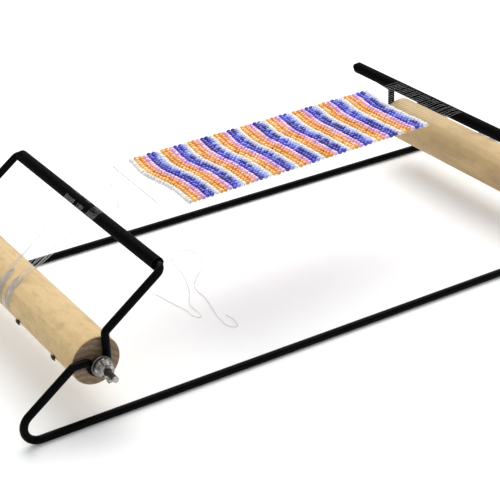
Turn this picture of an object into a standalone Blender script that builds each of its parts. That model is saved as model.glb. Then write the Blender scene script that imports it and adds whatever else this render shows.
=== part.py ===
"""Bead loom: a bent-wire frame on two rails, two wooden thread rollers and a loomed bead strip.

X runs along the loom, Y across it with the wing nuts at -Y, Z up from the table.
The origin is on the table, under the middle of the whole loom's box. The rails and rollers are
laid out about their own middle, which the wing studs in front push a little way towards +Y.
"""
import math

import bmesh
import bpy
from mathutils import Matrix, Vector

# Frame wire
WIRE_R = 0.00165
WIRE_SIDES = 12
RAIL_Z = WIRE_R * math.cos(math.pi / WIRE_SIDES)
CORNER_X = 0.1613
RAIL_HALF = 0.1420
HALF_WIDTH = 0.0635
BAR_X = 0.0885
BAR_Z = 0.0553
FOOT_BEND_R = 0.0062
KNEE_R = 0.0022
TOP_BEND_R = 0.0030
BAR_GAP = 0.0003
ARC_STEP = math.radians(21)

# Seat that carries a roller's studs, a U bent into each arm: distance from the middle and height
SEATS = {"left": (0.1170, 0.0247), "right": (0.1150, 0.0227)}
SEAT_R = 0.0035
SEAT_LIP = 0.0020
SEAT_ROUND = 0.98

# Thread guides on the top bars
GUIDE_R = 0.00270
GUIDE_BORE_R = 0.00195
GUIDE_HALF = 0.0602
GUIDE_CHAMFER = 0.0004

# Rollers
ROLLER_R = 0.0099
END_GAP = 0.0005
ROLLER_HALF = HALF_WIDTH - WIRE_R - END_GAP
ROLLER_CHAMFER = 0.0005
STUD_R = 0.0012
STUD_DEPTH = 0.018
STUD_REACH = 0.0160
STUD_CHAMFER = 0.0004
SCREW_POINT = 0.0015
FIT_GAP = 0.0003
WIRE_FACE = HALF_WIDTH + WIRE_R
WASHER_R = 0.0042
WASHER_HOLE_R = 0.0016
WASHER_T = 0.0008
NUT_BASE_R = 0.0036
NUT_TOP_R = 0.0029
NUT_LENGTH = 0.0042
NUT_SPAN = 0.0054
NUT_RISE = 0.0004
NUT_EDGE = 0.0008
EAR_R = 0.0016
WING_T = 0.0014
NUT_TURN = math.radians(80)
HEAD_R = 0.0035
HEAD_T = 0.0024
SLOT_WIDTH = 0.0009
SLOT_DEPTH = 0.0010

# Shift that centres the whole box, wing studs to screw heads, on the origin
MIDDLE_Y = (ROLLER_HALF + STUD_REACH - WIRE_FACE - FIT_GAP - HEAD_T) / 2

# Tie pins
PIN_COUNT = 4
PIN_FIRST = -0.0450
PIN_PITCH = 0.0318
PIN_ANGLE = math.radians(196)
PIN_R = 0.0007
PIN_HEAD_R = 0.0015
PIN_HEAD_T = 0.0008
PIN_STAND = 0.0005
PIN_DEPTH = 0.0050

# Warp, work and weft
THREAD_SKEW = 0.0345
WARP_HALF = 0.0247
WARP_T = 0.00035
WARP_Z = BAR_Z + GUIDE_R + FIT_GAP + WARP_T / 2
LEFT_GUIDE_HALF = 0.0125
RIGHT_GUIDE_HALF = 0.0228
WINDING_Y = (-0.0040, 0.0040)
WINDING_HALF = 0.0024
WINDING_T = 0.0006
WINDING_START = math.radians(118)
WINDING_END = math.radians(195)
WINDING_STEPS = 9
ROW_PITCH = 0.00225
ROW_COUNT = 55
STRIP_LEFT = -0.0564
STRIP_T = 0.0022
SLOT_T = 0.0011
SLOT_HALF = WARP_HALF + 0.0004
STRIP_HALF = 0.0257
NEEDLE_X = -0.0665
NEEDLE_TURN = math.radians(2.8)
NEEDLE_R = 0.00025
NEEDLE_NEAR = -0.0248
NEEDLE_FAR = 0.0201
NEEDLE_EYE = 0.0010
NEEDLE_TAPER = 0.0040
TAIL_R = 0.00018
TAIL_POINTS = 78
TABLE_GAP = 0.0001
ROUTE_STEPS = 24

TURN_WELD = 0.00001
BAKE_WELD = 0.000001
PARTS = "Bead loom"
CUTTERS = "Cutters"


def clear_scene():
    for old in list(bpy.data.objects):
        bpy.data.objects.remove(old, do_unlink=True)


def new_collection(name):
    collection = bpy.data.collections.new(name)
    bpy.context.scene.collection.children.link(collection)
    return collection


def make_material(name, colour, roughness, metallic):
    material = bpy.data.materials.new(name)
    material.use_nodes = True
    shader = material.node_tree.nodes["Principled BSDF"]
    shader.inputs["Base Color"].default_value = (*colour, 1.0)
    shader.inputs["Roughness"].default_value = roughness
    shader.inputs["Metallic"].default_value = metallic
    material.diffuse_color = (*colour, 1.0)
    return material


def add_object(name, data, material, collection):
    obj = bpy.data.objects.new(name, data)
    if material is not None:
        data.materials.append(material)
    collection.objects.link(obj)
    return obj


# ---------------------------------------------------------------- path helpers

def round_corners(corners):
    """Points along a polyline whose inner corners, given as (point, radius), become arcs."""
    points = [corners[0][0]]
    for (before, _), (corner, radius), (after, _) in zip(corners, corners[1:], corners[2:]):
        if radius == 0.0:
            points.append(corner)
            continue
        to_before = (before - corner).normalized()
        to_after = (after - corner).normalized()
        half = to_before.angle(to_after) / 2
        centre = corner + (to_before + to_after).normalized() * (radius / math.sin(half))
        start = corner + to_before * (radius / math.tan(half)) - centre
        end = corner + to_after * (radius / math.tan(half)) - centre
        turn = start.angle(end)
        steps = max(2, round(turn / ARC_STEP))
        for step in range(steps + 1):
            t = step / steps
            offset = (start * math.sin((1 - t) * turn) + end * math.sin(t * turn)) / math.sin(turn)
            points.append(centre + offset)
    points.append(corners[-1][0])
    return points


def flat_side_down(points, sides):
    """Tilt that turns a flat of a many-sided tube face down along its middle stretch."""
    chords = [(b - a).normalized() for a, b in zip(points, points[1:])]
    middle = len(chords) // 2
    ways = [(a + b).normalized() for a, b in zip(chords, chords[1:middle + 1])]
    vertical = Vector((0.0, 0.0, 1.0))
    up = vertical - ways[0] * vertical.dot(ways[0])
    for way, following in zip(ways, ways[1:]):
        up.rotate(way.rotation_difference(following))
    twist = math.atan2(up.dot(chords[middle].cross(vertical)), up.z)
    return math.pi / sides - twist


def smooth_route(knots, count):
    """Evenly spaced points on a Catmull-Rom curve through the knots."""
    padded = [2 * knots[0] - knots[1]] + knots + [2 * knots[-1] - knots[-2]]
    dense = []
    for p0, p1, p2, p3 in zip(padded, padded[1:], padded[2:], padded[3:]):
        for step in range(ROUTE_STEPS):
            t = step / ROUTE_STEPS
            dense.append(0.5 * (2 * p1 + (p2 - p0) * t + (2 * p0 - 5 * p1 + 4 * p2 - p3) * t ** 2
                                + (3 * p1 - p0 - 3 * p2 + p3) * t ** 3))
    dense.append(knots[-1])
    reach = [0.0]
    for a, b in zip(dense, dense[1:]):
        reach.append(reach[-1] + (b - a).length)
    points = []
    index = 0
    for number in range(count):
        target = reach[-1] * number / (count - 1)
        while index < len(reach) - 2 and reach[index + 1] < target:
            index += 1
        span = reach[index + 1] - reach[index]
        points.append(dense[index].lerp(dense[index + 1], (target - reach[index]) / span))
    return points


def tube(name, points, radius, resolution, material, collection, tilt=0.0):
    curve = bpy.data.curves.new(name, "CURVE")
    curve.dimensions = "3D"
    curve.bevel_depth = radius
    curve.bevel_resolution = resolution
    curve.use_fill_caps = True
    spline = curve.splines.new("POLY")
    spline.points.add(len(points) - 1)
    for point, place in zip(spline.points, points):
        point.co = (*place, 1.0)
        point.tilt = tilt
    spline.use_smooth = True
    return add_object(name, curve, material, collection)


# ---------------------------------------------------------------- solid helpers

def turned(name, profile, segments, material, collection):
    """A closed (radius, height) profile turned about Z; outer side listed top to bottom."""
    mesh = bpy.data.meshes.new(name)
    work = bmesh.new()
    verts = [work.verts.new((radius, 0.0, height)) for radius, height in profile]
    closed = profile[0][0] > 0.0 and profile[-1][0] > 0.0
    pairs = list(zip(verts, verts[1:]))
    if closed:
        pairs.append((verts[-1], verts[0]))
    for a, b in pairs:
        work.edges.new((a, b))
    work.to_mesh(mesh)
    work.free()
    obj = add_object(name, mesh, material, collection)
    screw = obj.modifiers.new("Turn", "SCREW")
    screw.steps = segments
    screw.render_steps = segments
    screw.use_merge_vertices = True
    screw.merge_threshold = TURN_WELD
    screw.use_smooth_shade = True
    return obj


def rod_mesh(name, radius, depth, segments):
    """A cylinder about Z from z=0 up to z=depth."""
    mesh = bpy.data.meshes.new(name)
    work = bmesh.new()
    bmesh.ops.create_cone(work, cap_ends=True, segments=segments, radius1=radius,
                          radius2=radius, depth=depth,
                          matrix=Matrix.Translation((0.0, 0.0, depth / 2)))
    work.to_mesh(mesh)
    work.free()
    return mesh


def bake(obj):
    """Turn a curve or a modified object into a plain welded mesh with the same name and place."""
    graph = bpy.context.evaluated_depsgraph_get()
    graph.update()
    mesh = bpy.data.meshes.new_from_object(obj.evaluated_get(graph))
    work = bmesh.new()
    work.from_mesh(mesh)
    bmesh.ops.remove_doubles(work, verts=work.verts, dist=BAKE_WELD)
    work.to_mesh(mesh)
    work.free()
    name = obj.name
    collection = obj.users_collection[0]
    place = obj.matrix_world.copy()
    bpy.data.objects.remove(obj, do_unlink=True)
    solid = bpy.data.objects.new(name, mesh)
    solid.name = name
    collection.objects.link(solid)
    solid.matrix_world = place
    return solid


def combine(obj, other, operation, label):
    """Add a Boolean with another object that stays hidden in the cutters' collection."""
    other.hide_render = True
    other.display_type = "WIRE"
    modifier = obj.modifiers.new(label, "BOOLEAN")
    modifier.operation = operation
    modifier.object = other


# ---------------------------------------------------------------- frame

def arm_corners(seat, y):
    """Corners (place, bend radius) of a right-hand arm: rail, foot, seat, knee and half a top bar."""
    seat_x, seat_z = seat
    slope = (BAR_Z - RAIL_Z) / (CORNER_X - BAR_X)
    step_z = seat_z + SEAT_LIP
    step_x = CORNER_X - (step_z - RAIL_Z) / slope
    inner_x = seat_x - SEAT_R
    inner_z = RAIL_Z + (CORNER_X - inner_x) * slope
    return [
        (Vector((RAIL_HALF, y, RAIL_Z)), 0.0),
        (Vector((CORNER_X, y, RAIL_Z)), FOOT_BEND_R),
        (Vector((step_x, y, step_z)), KNEE_R),
        (Vector((seat_x + SEAT_R, y, step_z)), SEAT_LIP * SEAT_ROUND),
        (Vector((seat_x + SEAT_R, y, seat_z - SEAT_R)), SEAT_R * SEAT_ROUND),
        (Vector((inner_x, y, seat_z - SEAT_R)), SEAT_R * SEAT_ROUND),
        (Vector((inner_x, y, inner_z)), KNEE_R),
        (Vector((BAR_X, y, BAR_Z)), TOP_BEND_R),
        (Vector((BAR_X, math.copysign(BAR_GAP, y), BAR_Z)), 0.0),
    ]


def side_wire(name, side, material, collection):
    """One long bent wire: half a top bar, arm with seat, rail, arm with seat, half a top bar."""
    y = side * HALF_WIDTH
    left = [(Vector((-place.x, place.y, place.z)), radius)
            for place, radius in reversed(arm_corners(SEATS["left"], y))]
    points = round_corners(left + arm_corners(SEATS["right"], y))
    return tube(name, points, WIRE_R, (WIRE_SIDES - 4) // 2, material, collection,
                tilt=flat_side_down(points, WIRE_SIDES))


def thread_guide(name, side, material, collection):
    profile = [
        (GUIDE_BORE_R, GUIDE_HALF),
        (GUIDE_R - GUIDE_CHAMFER, GUIDE_HALF),
        (GUIDE_R, GUIDE_HALF - GUIDE_CHAMFER),
        (GUIDE_R, -GUIDE_HALF + GUIDE_CHAMFER),
        (GUIDE_R - GUIDE_CHAMFER, -GUIDE_HALF),
        (GUIDE_BORE_R, -GUIDE_HALF),
    ]
    guide = turned(name, profile, 28, material, collection)
    guide.location = (side * BAR_X, 0.0, BAR_Z)
    guide.rotation_euler = (math.radians(90), 0.0, 0.0)
    return guide


# ---------------------------------------------------------------- rollers

def roller_dowel(name, material, collection, cutters, pin_places):
    """Wooden dowel along Y with a pilot hole in each end and one for each tie pin."""
    profile = [
        (0.0, ROLLER_HALF),
        (ROLLER_R - ROLLER_CHAMFER, ROLLER_HALF),
        (ROLLER_R, ROLLER_HALF - ROLLER_CHAMFER),
        (ROLLER_R, -ROLLER_HALF + ROLLER_CHAMFER),
        (ROLLER_R - ROLLER_CHAMFER, -ROLLER_HALF),
        (0.0, -ROLLER_HALF),
    ]
    dowel = turned(name, profile, 48, material, collection)
    dowel.rotation_euler = (math.radians(90), 0.0, 0.0)
    pilot = rod_mesh(name + ".pilot", STUD_R + FIT_GAP, 2 * STUD_DEPTH, 20)
    for end in (-1, 1):
        cutter = add_object(name + ".pilot_cut", pilot, None, cutters)
        cutter.parent = dowel
        cutter.location = (0.0, 0.0, end * ROLLER_HALF - STUD_DEPTH)
        combine(dowel, cutter, "DIFFERENCE", "Pilot hole")
    pin_hole = rod_mesh(name + ".pin_hole", PIN_R + FIT_GAP, 2 * PIN_DEPTH, 12)
    for y, angle in pin_places:
        cutter = add_object(name + ".pin_cut", pin_hole, None, cutters)
        cutter.parent = dowel
        cutter.matrix_local = (Matrix.Translation((0.0, 0.0, -y))
                               @ Matrix.Rotation(angle, 4, "Z")
                               @ Matrix.Rotation(math.radians(90), 4, "Y")
                               @ Matrix.Translation((0.0, 0.0, ROLLER_R - PIN_DEPTH - FIT_GAP)))
        combine(dowel, cutter, "DIFFERENCE", "Pin hole")
    return dowel


def wing_stud(name, material, collection):
    """Threaded stud screwed into the front end of a roller, with a chamfered tip."""
    tip = ROLLER_HALF + STUD_REACH
    root = ROLLER_HALF - STUD_DEPTH + FIT_GAP
    profile = [
        (0.0, tip),
        (STUD_R - STUD_CHAMFER, tip),
        (STUD_R, tip - STUD_CHAMFER),
        (STUD_R, root + STUD_CHAMFER),
        (STUD_R - STUD_CHAMFER, root),
        (0.0, root),
    ]
    stud = turned(name, profile, 20, material, collection)
    stud.rotation_euler = (math.radians(90), 0.0, 0.0)
    return stud


def stud_washer(name, material, collection):
    inner_face = WIRE_FACE + FIT_GAP
    edge = WASHER_T * 0.25
    profile = [
        (WASHER_HOLE_R, inner_face + WASHER_T),
        (WASHER_R - edge, inner_face + WASHER_T),
        (WASHER_R, inner_face + WASHER_T - edge),
        (WASHER_R, inner_face),
        (WASHER_HOLE_R, inner_face),
    ]
    washer = turned(name, profile, 32, material, collection)
    washer.rotation_euler = (math.radians(90), 0.0, 0.0)
    return washer


def wing_outline(name):
    """One ear of the nut as a flat outline in the XY plane, root inside the hub."""
    outline = bpy.data.curves.new(name, "CURVE")
    outline.dimensions = "2D"
    outline.fill_mode = "BOTH"
    outline.extrude = WING_T / 2
    root = NUT_TOP_R * 0.75
    centre = Vector((NUT_SPAN - EAR_R, NUT_LENGTH + NUT_RISE - EAR_R))
    points = [Vector((root, NUT_EDGE)), Vector((NUT_BASE_R * 0.96, NUT_EDGE))]
    for degrees in range(-40, 161, 25):
        turn = math.radians(degrees)
        points.append(centre + EAR_R * Vector((math.cos(turn), math.sin(turn))))
    points.append(Vector((root, NUT_LENGTH - NUT_EDGE)))
    spline = outline.splines.new("POLY")
    spline.points.add(len(points) - 1)
    for point, place in zip(spline.points, points):
        point.co = (place.x, place.y, 0.0, 1.0)
    spline.use_cyclic_u = True
    return outline


def wing_nut(name, material, collection, cutters):
    """Hub turned about Z with two ears joined to it and a clear bore, base at z=0."""
    hub = turned(name, [
        (STUD_R + FIT_GAP, NUT_LENGTH),
        (NUT_TOP_R - NUT_EDGE / 2, NUT_LENGTH),
        (NUT_TOP_R, NUT_LENGTH - NUT_EDGE / 2),
        (NUT_BASE_R, NUT_EDGE),
        (NUT_BASE_R, 0.0),
        (STUD_R + FIT_GAP, 0.0),
    ], 28, material, collection)
    for turn in (0, 180):
        ear = add_object(name + ".ear", wing_outline(name + ".ear"), None, cutters)
        ear.rotation_euler = (math.radians(90), 0.0, math.radians(turn))
        bpy.context.view_layer.update()
        ear = bake(ear)
        ear.parent = hub
        combine(hub, ear, "UNION", "Ear")
    bore = add_object(name + ".bore", rod_mesh(name + ".bore", STUD_R + FIT_GAP * 1.05,
                                               3 * NUT_LENGTH, 28), None, cutters)
    bore.parent = hub
    bore.location = (0.0, 0.0, -NUT_LENGTH)
    combine(hub, bore, "DIFFERENCE", "Bore")
    return hub


def pivot_screw(name, material, collection, cutters):
    """Pan-head screw in the back end of a roller, with a straight slot in its head."""
    head = WIRE_FACE + FIT_GAP
    root = ROLLER_HALF - STUD_DEPTH + FIT_GAP
    profile = [(0.0, head + HEAD_T)]
    for degrees in (72, 54, 36, 18, 0):
        turn = math.radians(degrees)
        profile.append((HEAD_R * math.cos(turn), head + HEAD_T * math.sin(turn)))
    profile += [(STUD_R, head), (STUD_R, root + SCREW_POINT), (0.0, root)]
    screw = turned(name, profile, 28, material, collection)
    screw.rotation_euler = (math.radians(-90), 0.0, 0.0)
    slot = bpy.data.meshes.new(name + ".slot")
    work = bmesh.new()
    size = (3 * HEAD_R, SLOT_WIDTH, 2 * SLOT_DEPTH, 1.0)
    bmesh.ops.create_cube(work, size=1.0, matrix=Matrix.Diagonal(size))
    work.to_mesh(slot)
    work.free()
    cutter = add_object(name + ".slot", slot, None, cutters)
    cutter.parent = screw
    cutter.location = (0.0, 0.0, head + HEAD_T)
    combine(screw, cutter, "DIFFERENCE", "Slot")
    return screw


def tie_pin(name, material, collection):
    """Short round-headed pin along Z: shank in the wood, head standing off the surface."""
    under_head = ROLLER_R + PIN_STAND
    profile = [
        (0.0, under_head + PIN_HEAD_T),
        (PIN_HEAD_R * 0.75, under_head + PIN_HEAD_T * 0.8),
        (PIN_HEAD_R, under_head + PIN_HEAD_T * 0.3),
        (PIN_HEAD_R, under_head),
        (PIN_R, under_head),
        (PIN_R, ROLLER_R - PIN_DEPTH + PIN_R),
        (0.0, ROLLER_R - PIN_DEPTH),
    ]
    return turned(name, profile, 16, material, collection)


def thread_winding(name, side, y, material, collection):
    """Band that stands for threads wound from where the warp meets a roller round to the pins."""
    inner = ROLLER_R + FIT_GAP
    outline = [(inner, WINDING_HALF)]
    for step in range(6):
        turn = math.pi * step / 5
        outline.append((inner + WINDING_T * (0.35 + 0.65 * math.sin(turn)),
                        WINDING_HALF * math.cos(turn)))
    outline.append((inner, -WINDING_HALF))
    start = WINDING_START if side < 0 else math.pi - WINDING_START
    mesh = bpy.data.meshes.new(name)
    work = bmesh.new()
    work.faces.new([work.verts.new((radius * math.cos(start), along, radius * math.sin(start)))
                    for radius, along in outline])
    bmesh.ops.spin(work, geom=work.verts[:] + work.edges[:] + work.faces[:], cent=(0.0, 0.0, 0.0),
                   axis=(0.0, side, 0.0), angle=WINDING_END - WINDING_START, steps=WINDING_STEPS)
    bmesh.ops.recalc_face_normals(work, faces=work.faces)
    work.to_mesh(mesh)
    work.free()
    winding = add_object(name, mesh, material, collection)
    winding.location = (0.0, y, 0.0)
    return winding


def roller_set(side_name, side, materials, parts, cutters):
    """One roller with everything that turns with it, hung on an empty on its axis."""
    axis = bpy.data.objects.new(side_name + "_roller_axis", None)
    parts.objects.link(axis)
    seat_x, seat_z = SEATS[side_name]
    axis.location = (side * seat_x, 0.0, seat_z)
    pin_angle = PIN_ANGLE if side < 0 else math.pi - PIN_ANGLE
    pins = [(PIN_FIRST + number * PIN_PITCH, pin_angle) for number in range(PIN_COUNT)]
    roller_dowel(side_name + "_roller_dowel", materials["wood"], parts, cutters, pins).parent = axis
    wing_stud(side_name + "_wing_stud", materials["steel"], parts).parent = axis
    stud_washer(side_name + "_stud_washer", materials["steel"], parts).parent = axis
    pivot_screw(side_name + "_pivot_screw", materials["steel"], parts, cutters).parent = axis
    nut = wing_nut(side_name + "_wing_nut", materials["zinc"], parts, cutters)
    nut.rotation_euler = (math.radians(90), NUT_TURN, 0.0)
    nut.location = (0.0, -(WIRE_FACE + 2 * FIT_GAP + WASHER_T), 0.0)
    nut.parent = axis
    for number, (y, angle) in enumerate(pins, start=1):
        pin = tie_pin(f"{side_name}_tie_pin_{number}", materials["pin"], parts)
        pin.rotation_euler = (0.0, math.radians(90) - angle, 0.0)
        pin.location = (0.0, y, 0.0)
        pin.parent = axis
    for number, y in enumerate(WINDING_Y, start=1):
        winding = thread_winding(f"{side_name}_thread_winding_{number}", side, -side * y,
                                 materials["thread"], parts)
        winding.parent = axis


# ---------------------------------------------------------------- warp, work and weft

def warp_lines(seat, guide_half):
    """Cross lines (x, z, centre y, half width) of the warp from a left-hand roller over its guide."""
    roller = Vector((-seat[0], seat[1]))
    guide = Vector((-BAR_X, BAR_Z))
    roller_r = ROLLER_R + FIT_GAP + WINDING_T + FIT_GAP + WARP_T / 2
    guide_r = GUIDE_R + FIT_GAP + WARP_T / 2
    between = guide - roller
    heading = math.atan2(between.y, between.x)
    normal = heading + math.acos((roller_r - guide_r) / between.length)
    off_roller = roller + roller_r * Vector((math.cos(normal), math.sin(normal)))
    winding_half = (WINDING_Y[1] - WINDING_Y[0]) / 2 + WINDING_HALF
    lines = [(off_roller.x, off_roller.y, sum(WINDING_Y) / 2, winding_half)]
    steps = 5
    for step in range(steps + 1):
        turn = normal + (math.pi / 2 - normal) * step / steps
        place = guide + guide_r * Vector((math.cos(turn), math.sin(turn)))
        lines.append((place.x, place.y, THREAD_SKEW * place.x, guide_half))
    return lines


def warp_threads(name, material, collection):
    """The warp as one thin band from roller to roller, drawn in between the strip and the left guide."""
    left = warp_lines(SEATS["left"], LEFT_GUIDE_HALF)
    left.append((STRIP_LEFT, WARP_Z, THREAD_SKEW * STRIP_LEFT, WARP_HALF))
    right = [(-x, z, -y, half)
             for x, z, y, half in reversed(warp_lines(SEATS["right"], RIGHT_GUIDE_HALF))]
    mesh = bpy.data.meshes.new(name)
    work = bmesh.new()
    previous = None
    for x, z, y, half in left + right:
        pair = (work.verts.new((x, y - half, z)), work.verts.new((x, y + half, z)))
        if previous is not None:
            work.faces.new((previous[0], pair[0], pair[1], previous[1]))
        previous = pair
    work.to_mesh(mesh)
    work.free()
    band = add_object(name, mesh, material, collection)
    solidify = band.modifiers.new("Thickness", "SOLIDIFY")
    solidify.thickness = WARP_T
    solidify.offset = 0.0
    solidify.use_even_offset = True
    return band


def sheared_box(name, x0, x1, half_y, thickness):
    """A flat box whose long edges follow the warp's slight skew, centred on the warp's height."""
    mesh = bpy.data.meshes.new(name)
    work = bmesh.new()
    middle = (x0 + x1) / 2
    bmesh.ops.create_cube(work, size=1.0, matrix=Matrix.Diagonal((x1 - x0, 2 * half_y, thickness, 1)))
    shear = Matrix.Identity(4)
    shear[1][0] = THREAD_SKEW
    bmesh.ops.transform(work, matrix=shear, verts=work.verts)
    work.to_mesh(mesh)
    work.free()
    return mesh, Vector((middle, THREAD_SKEW * middle, WARP_Z))


def bead_strip(name, material, collection, cutters):
    """The loomed beads as one slab, with a slot right through it for the warp."""
    right = STRIP_LEFT + ROW_COUNT * ROW_PITCH
    mesh, place = sheared_box(name, STRIP_LEFT, right, STRIP_HALF, STRIP_T)
    strip = add_object(name, mesh, material, collection)
    strip.location = place
    slot_mesh, slot_place = sheared_box(name + ".slot", STRIP_LEFT - ROW_PITCH, right + ROW_PITCH,
                                        SLOT_HALF, SLOT_T)
    slot = add_object(name + ".slot", slot_mesh, None, cutters)
    slot.location = slot_place
    combine(strip, slot, "DIFFERENCE", "Warp slot")
    return strip


def beading_needle(name, material, collection):
    """Thin needle lying across the warp, pointed at the near end and blunt at the eye."""
    profile = [
        (0.0, NEEDLE_FAR),
        (NEEDLE_R * 0.8, NEEDLE_FAR),
        (NEEDLE_R, NEEDLE_FAR - NEEDLE_EYE),
        (NEEDLE_R, NEEDLE_NEAR + NEEDLE_TAPER),
        (NEEDLE_R * 0.25, NEEDLE_NEAR),
        (0.0, NEEDLE_NEAR),
    ]
    needle = turned(name, profile, 12, material, collection)
    needle.rotation_euler = (math.radians(-90), 0.0, -NEEDLE_TURN)
    needle.location = (NEEDLE_X, 0.0, WARP_Z + WARP_T / 2 + FIT_GAP + NEEDLE_R)
    return needle


def tail_knots():
    """Route of the loose weft thread: off the needle's eye, down, and curled on the table."""
    high = WARP_Z + WARP_T / 2 + FIT_GAP + NEEDLE_R
    low = TAIL_R + TABLE_GAP
    eye_x = NEEDLE_X + NEEDLE_FAR * math.sin(NEEDLE_TURN)
    hanging = [
        (eye_x, NEEDLE_FAR + 0.0008, high), (eye_x, NEEDLE_FAR + 0.0030, high),
        (eye_x + 0.0001, NEEDLE_FAR + 0.0043, high - 0.0012),
        (eye_x + 0.0003, NEEDLE_FAR + 0.0044, high - 0.0035),
        (-0.0644, 0.0236, 0.0470), (-0.0627, 0.0200, 0.0340), (-0.0604, 0.0154, 0.0180),
        (-0.0584, 0.0118, 0.0060), (-0.0570, 0.0098, 0.0014), (-0.0560, 0.0086, low),
    ]
    lying = [
        (-0.0552, 0.0065), (-0.0537, -0.0016), (-0.0518, -0.0100), (-0.0517, -0.0150),
        (-0.0512, -0.0180), (-0.0497, -0.0194), (-0.0484, -0.0165), (-0.0478, -0.0075),
        (-0.0425, 0.0025), (-0.0380, 0.0141), (-0.0348, 0.0288), (-0.0330, 0.0350),
        (-0.0285, 0.0385), (-0.0235, 0.0350), (-0.0225, 0.0270), (-0.0270, 0.0180),
        (-0.0340, 0.0110), (-0.0388, 0.0038), (-0.0399, -0.0075), (-0.0420, -0.0164),
        (-0.0435, -0.0229), (-0.0441, -0.0300), (-0.0425, -0.0343), (-0.0404, -0.0338),
        (-0.0393, -0.0290), (-0.0400, -0.0240),
    ]
    return [Vector(place) for place in hanging] + [Vector((x, y, low)) for x, y in lying]


# ---------------------------------------------------------------- assembly

def build():
    clear_scene()
    parts = new_collection(PARTS)
    cutters = new_collection(CUTTERS)
    materials = {
        "wire": make_material("Black lacquered wire", (0.006, 0.006, 0.007), 0.28, 0.0),
        "guide": make_material("Matt black guide", (0.014, 0.014, 0.014), 0.62, 0.0),
        "wood": make_material("Pale dowel wood", (0.78, 0.60, 0.38), 0.55, 0.0),
        "steel": make_material("Zinc plated steel", (0.52, 0.52, 0.50), 0.32, 1.0),
        "zinc": make_material("Cast zinc", (0.66, 0.65, 0.62), 0.36, 1.0),
        "pin": make_material("Dark pin steel", (0.05, 0.035, 0.025), 0.45, 1.0),
        "thread": make_material("White thread", (0.88, 0.87, 0.84), 0.6, 0.0),
        "beads": make_material("Glass beads", (0.72, 0.45, 0.35), 0.2, 0.0),
        "needle": make_material("Needle steel", (0.60, 0.60, 0.60), 0.25, 1.0),
    }
    side_wire("front_side_wire", -1, materials["wire"], parts)
    side_wire("back_side_wire", 1, materials["wire"], parts)
    for side_name, side in (("left", -1), ("right", 1)):
        thread_guide(side_name + "_thread_guide", side, materials["guide"], parts)
        roller_set(side_name, side, materials, parts, cutters)
    warp_threads("warp_threads", materials["thread"], parts)
    bead_strip("bead_strip", materials["beads"], parts, cutters)
    beading_needle("beading_needle", materials["needle"], parts)
    tube("weft_thread_tail", smooth_route(tail_knots(), TAIL_POINTS), TAIL_R, 2,
         materials["thread"], parts)
    middle = bpy.data.objects.new("loom_middle", None)
    middle.location = (0.0, MIDDLE_Y, 0.0)
    for obj in list(parts.objects) + list(cutters.objects):
        if obj.parent is None:
            obj.parent = middle
    parts.objects.link(middle)


build()
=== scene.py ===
import math
import random

import bmesh
import bpy
import numpy as np
from mathutils import Matrix, Vector


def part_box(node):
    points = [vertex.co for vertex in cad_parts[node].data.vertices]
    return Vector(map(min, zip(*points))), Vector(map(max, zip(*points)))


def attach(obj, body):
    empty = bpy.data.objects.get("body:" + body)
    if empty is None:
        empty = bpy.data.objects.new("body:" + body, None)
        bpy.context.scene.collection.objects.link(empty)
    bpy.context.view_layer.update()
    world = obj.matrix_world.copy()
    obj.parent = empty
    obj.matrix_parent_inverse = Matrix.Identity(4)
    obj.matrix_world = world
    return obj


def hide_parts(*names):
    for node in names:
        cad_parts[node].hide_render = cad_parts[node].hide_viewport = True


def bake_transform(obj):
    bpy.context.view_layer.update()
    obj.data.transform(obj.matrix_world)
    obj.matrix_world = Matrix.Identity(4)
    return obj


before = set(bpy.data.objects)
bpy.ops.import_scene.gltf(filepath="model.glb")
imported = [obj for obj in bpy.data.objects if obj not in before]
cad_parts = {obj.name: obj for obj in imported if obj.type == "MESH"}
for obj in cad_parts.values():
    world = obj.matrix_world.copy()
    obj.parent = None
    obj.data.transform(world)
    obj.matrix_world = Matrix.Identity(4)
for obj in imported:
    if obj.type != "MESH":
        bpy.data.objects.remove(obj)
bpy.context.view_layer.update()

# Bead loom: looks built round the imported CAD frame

# ---------------------------------------------------------------- places, from the solids' boxes


def middle_of(node):
    low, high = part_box(node)
    return (low + high) / 2


GUIDE = {"left": middle_of("left_thread_guide"), "right": middle_of("right_thread_guide")}
SEAT = {"left": middle_of("left_wing_stud"), "right": middle_of("right_wing_stud")}
MIDDLE_Y = GUIDE["right"].y
BAR_X = GUIDE["right"].x
BAR_Z = GUIDE["right"].z
GUIDE_HALF = (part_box("left_thread_guide")[1].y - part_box("left_thread_guide")[0].y) / 2
ROLLER_HALF = (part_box("left_roller_dowel")[1].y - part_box("left_roller_dowel")[0].y) / 2
SIDES = (("left", -1), ("right", 1))

# Frame wire, as the solids have it
WIRE_R = 0.00160
ARM_RUN = 0.0728
FOOT_BEND_R = 0.0062
KNEE_R = 0.0022
TOP_BEND_R = 0.0030
SEAT_R = 0.0035
SEAT_LIP = 0.0020
BAR_GAP = 0.0003

# Thread guides
COIL_R = 0.00234
COIL_WIRE_R = 0.00036
COIL_PITCH = 0.00076
GUIDE_R = COIL_R + COIL_WIRE_R

# Rollers and their hardware
ROLLER_R = 0.0099
STUD_R = 0.0012
THREAD_PITCH = 0.0005
THREAD_DEPTH = 0.00017
WASHER_R = 0.0042
WASHER_HOLE_R = 0.0015
HEAD_R = 0.0035
HEAD_T = 0.0024
SLOT_DEPTH = 0.0010
SLOT_WIDTH = 0.0009
SCREW_DEPTH = 0.0180
BORE_CLEAR = 0.0002
EDGE_R = 0.0007
PIN_CLEAR = 0.0005
PINS = 4

# Wing nut
NUT_FOOT_R = 0.0036
NUT_NOSE_R = 0.0029
NUT_LENGTH = 0.0042
NUT_SPAN = 0.0054
NUT_RISE = 0.0004
NUT_TIP_R = 0.0016
NUT_EAR_HALF = 0.00070
NUT_TILT = math.radians(80)
NUT_VOXEL = 0.00014

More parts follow.
